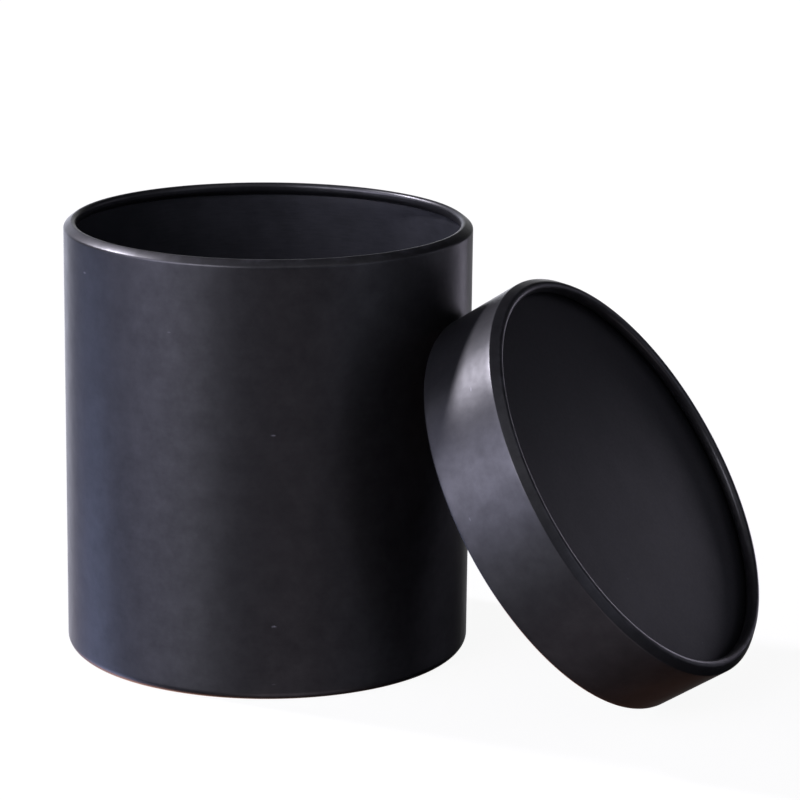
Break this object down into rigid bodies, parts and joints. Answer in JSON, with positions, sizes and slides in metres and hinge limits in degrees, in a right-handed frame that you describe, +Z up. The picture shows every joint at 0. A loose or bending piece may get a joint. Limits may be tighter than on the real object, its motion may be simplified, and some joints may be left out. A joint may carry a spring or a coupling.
{
  "type": "flower bucket",
  "caption": "Round paperboard bucket with rolled edges that stands cut flowers or gifts, with a slip-on lid leaning against its side.",
  "frame": {"origin": "on the floor, in the middle of the box that the bucket and the leaning lid fill together", "axes": "+Z up along the bucket's axis, +X from the bucket towards the lid that leans on it"},
  "size_m": [0.315, 0.1872, 0.192],
  "materials": {
    "satin_laminate": "satin",
    "matt_facing": "matte",
    "lining_paper": "matte",
    "black_board": "matte"
  },
  "bodies": {
    "bucket": {"bucket_tube": "black_board", "bucket_outer_wrap": "satin_laminate", "bucket_lining": "lining_paper", "base_underside_paper": "lining_paper", "base_disc": "black_board", "base_lining": "lining_paper"},
    "lid": {"lid_band": "black_board", "lid_outer_wrap": "satin_laminate", "lid_lining": "lining_paper", "lid_panel_facing": "matt_facing", "lid_panel": "black_board", "lid_panel_lining": "lining_paper"}
  },
  "joints": [
    {"name": "lid_lift", "type": "slide", "parent": "bucket", "child": "lid", "axis": [0, 0, 1], "range_m": [0, 0.2]}
  ]
}
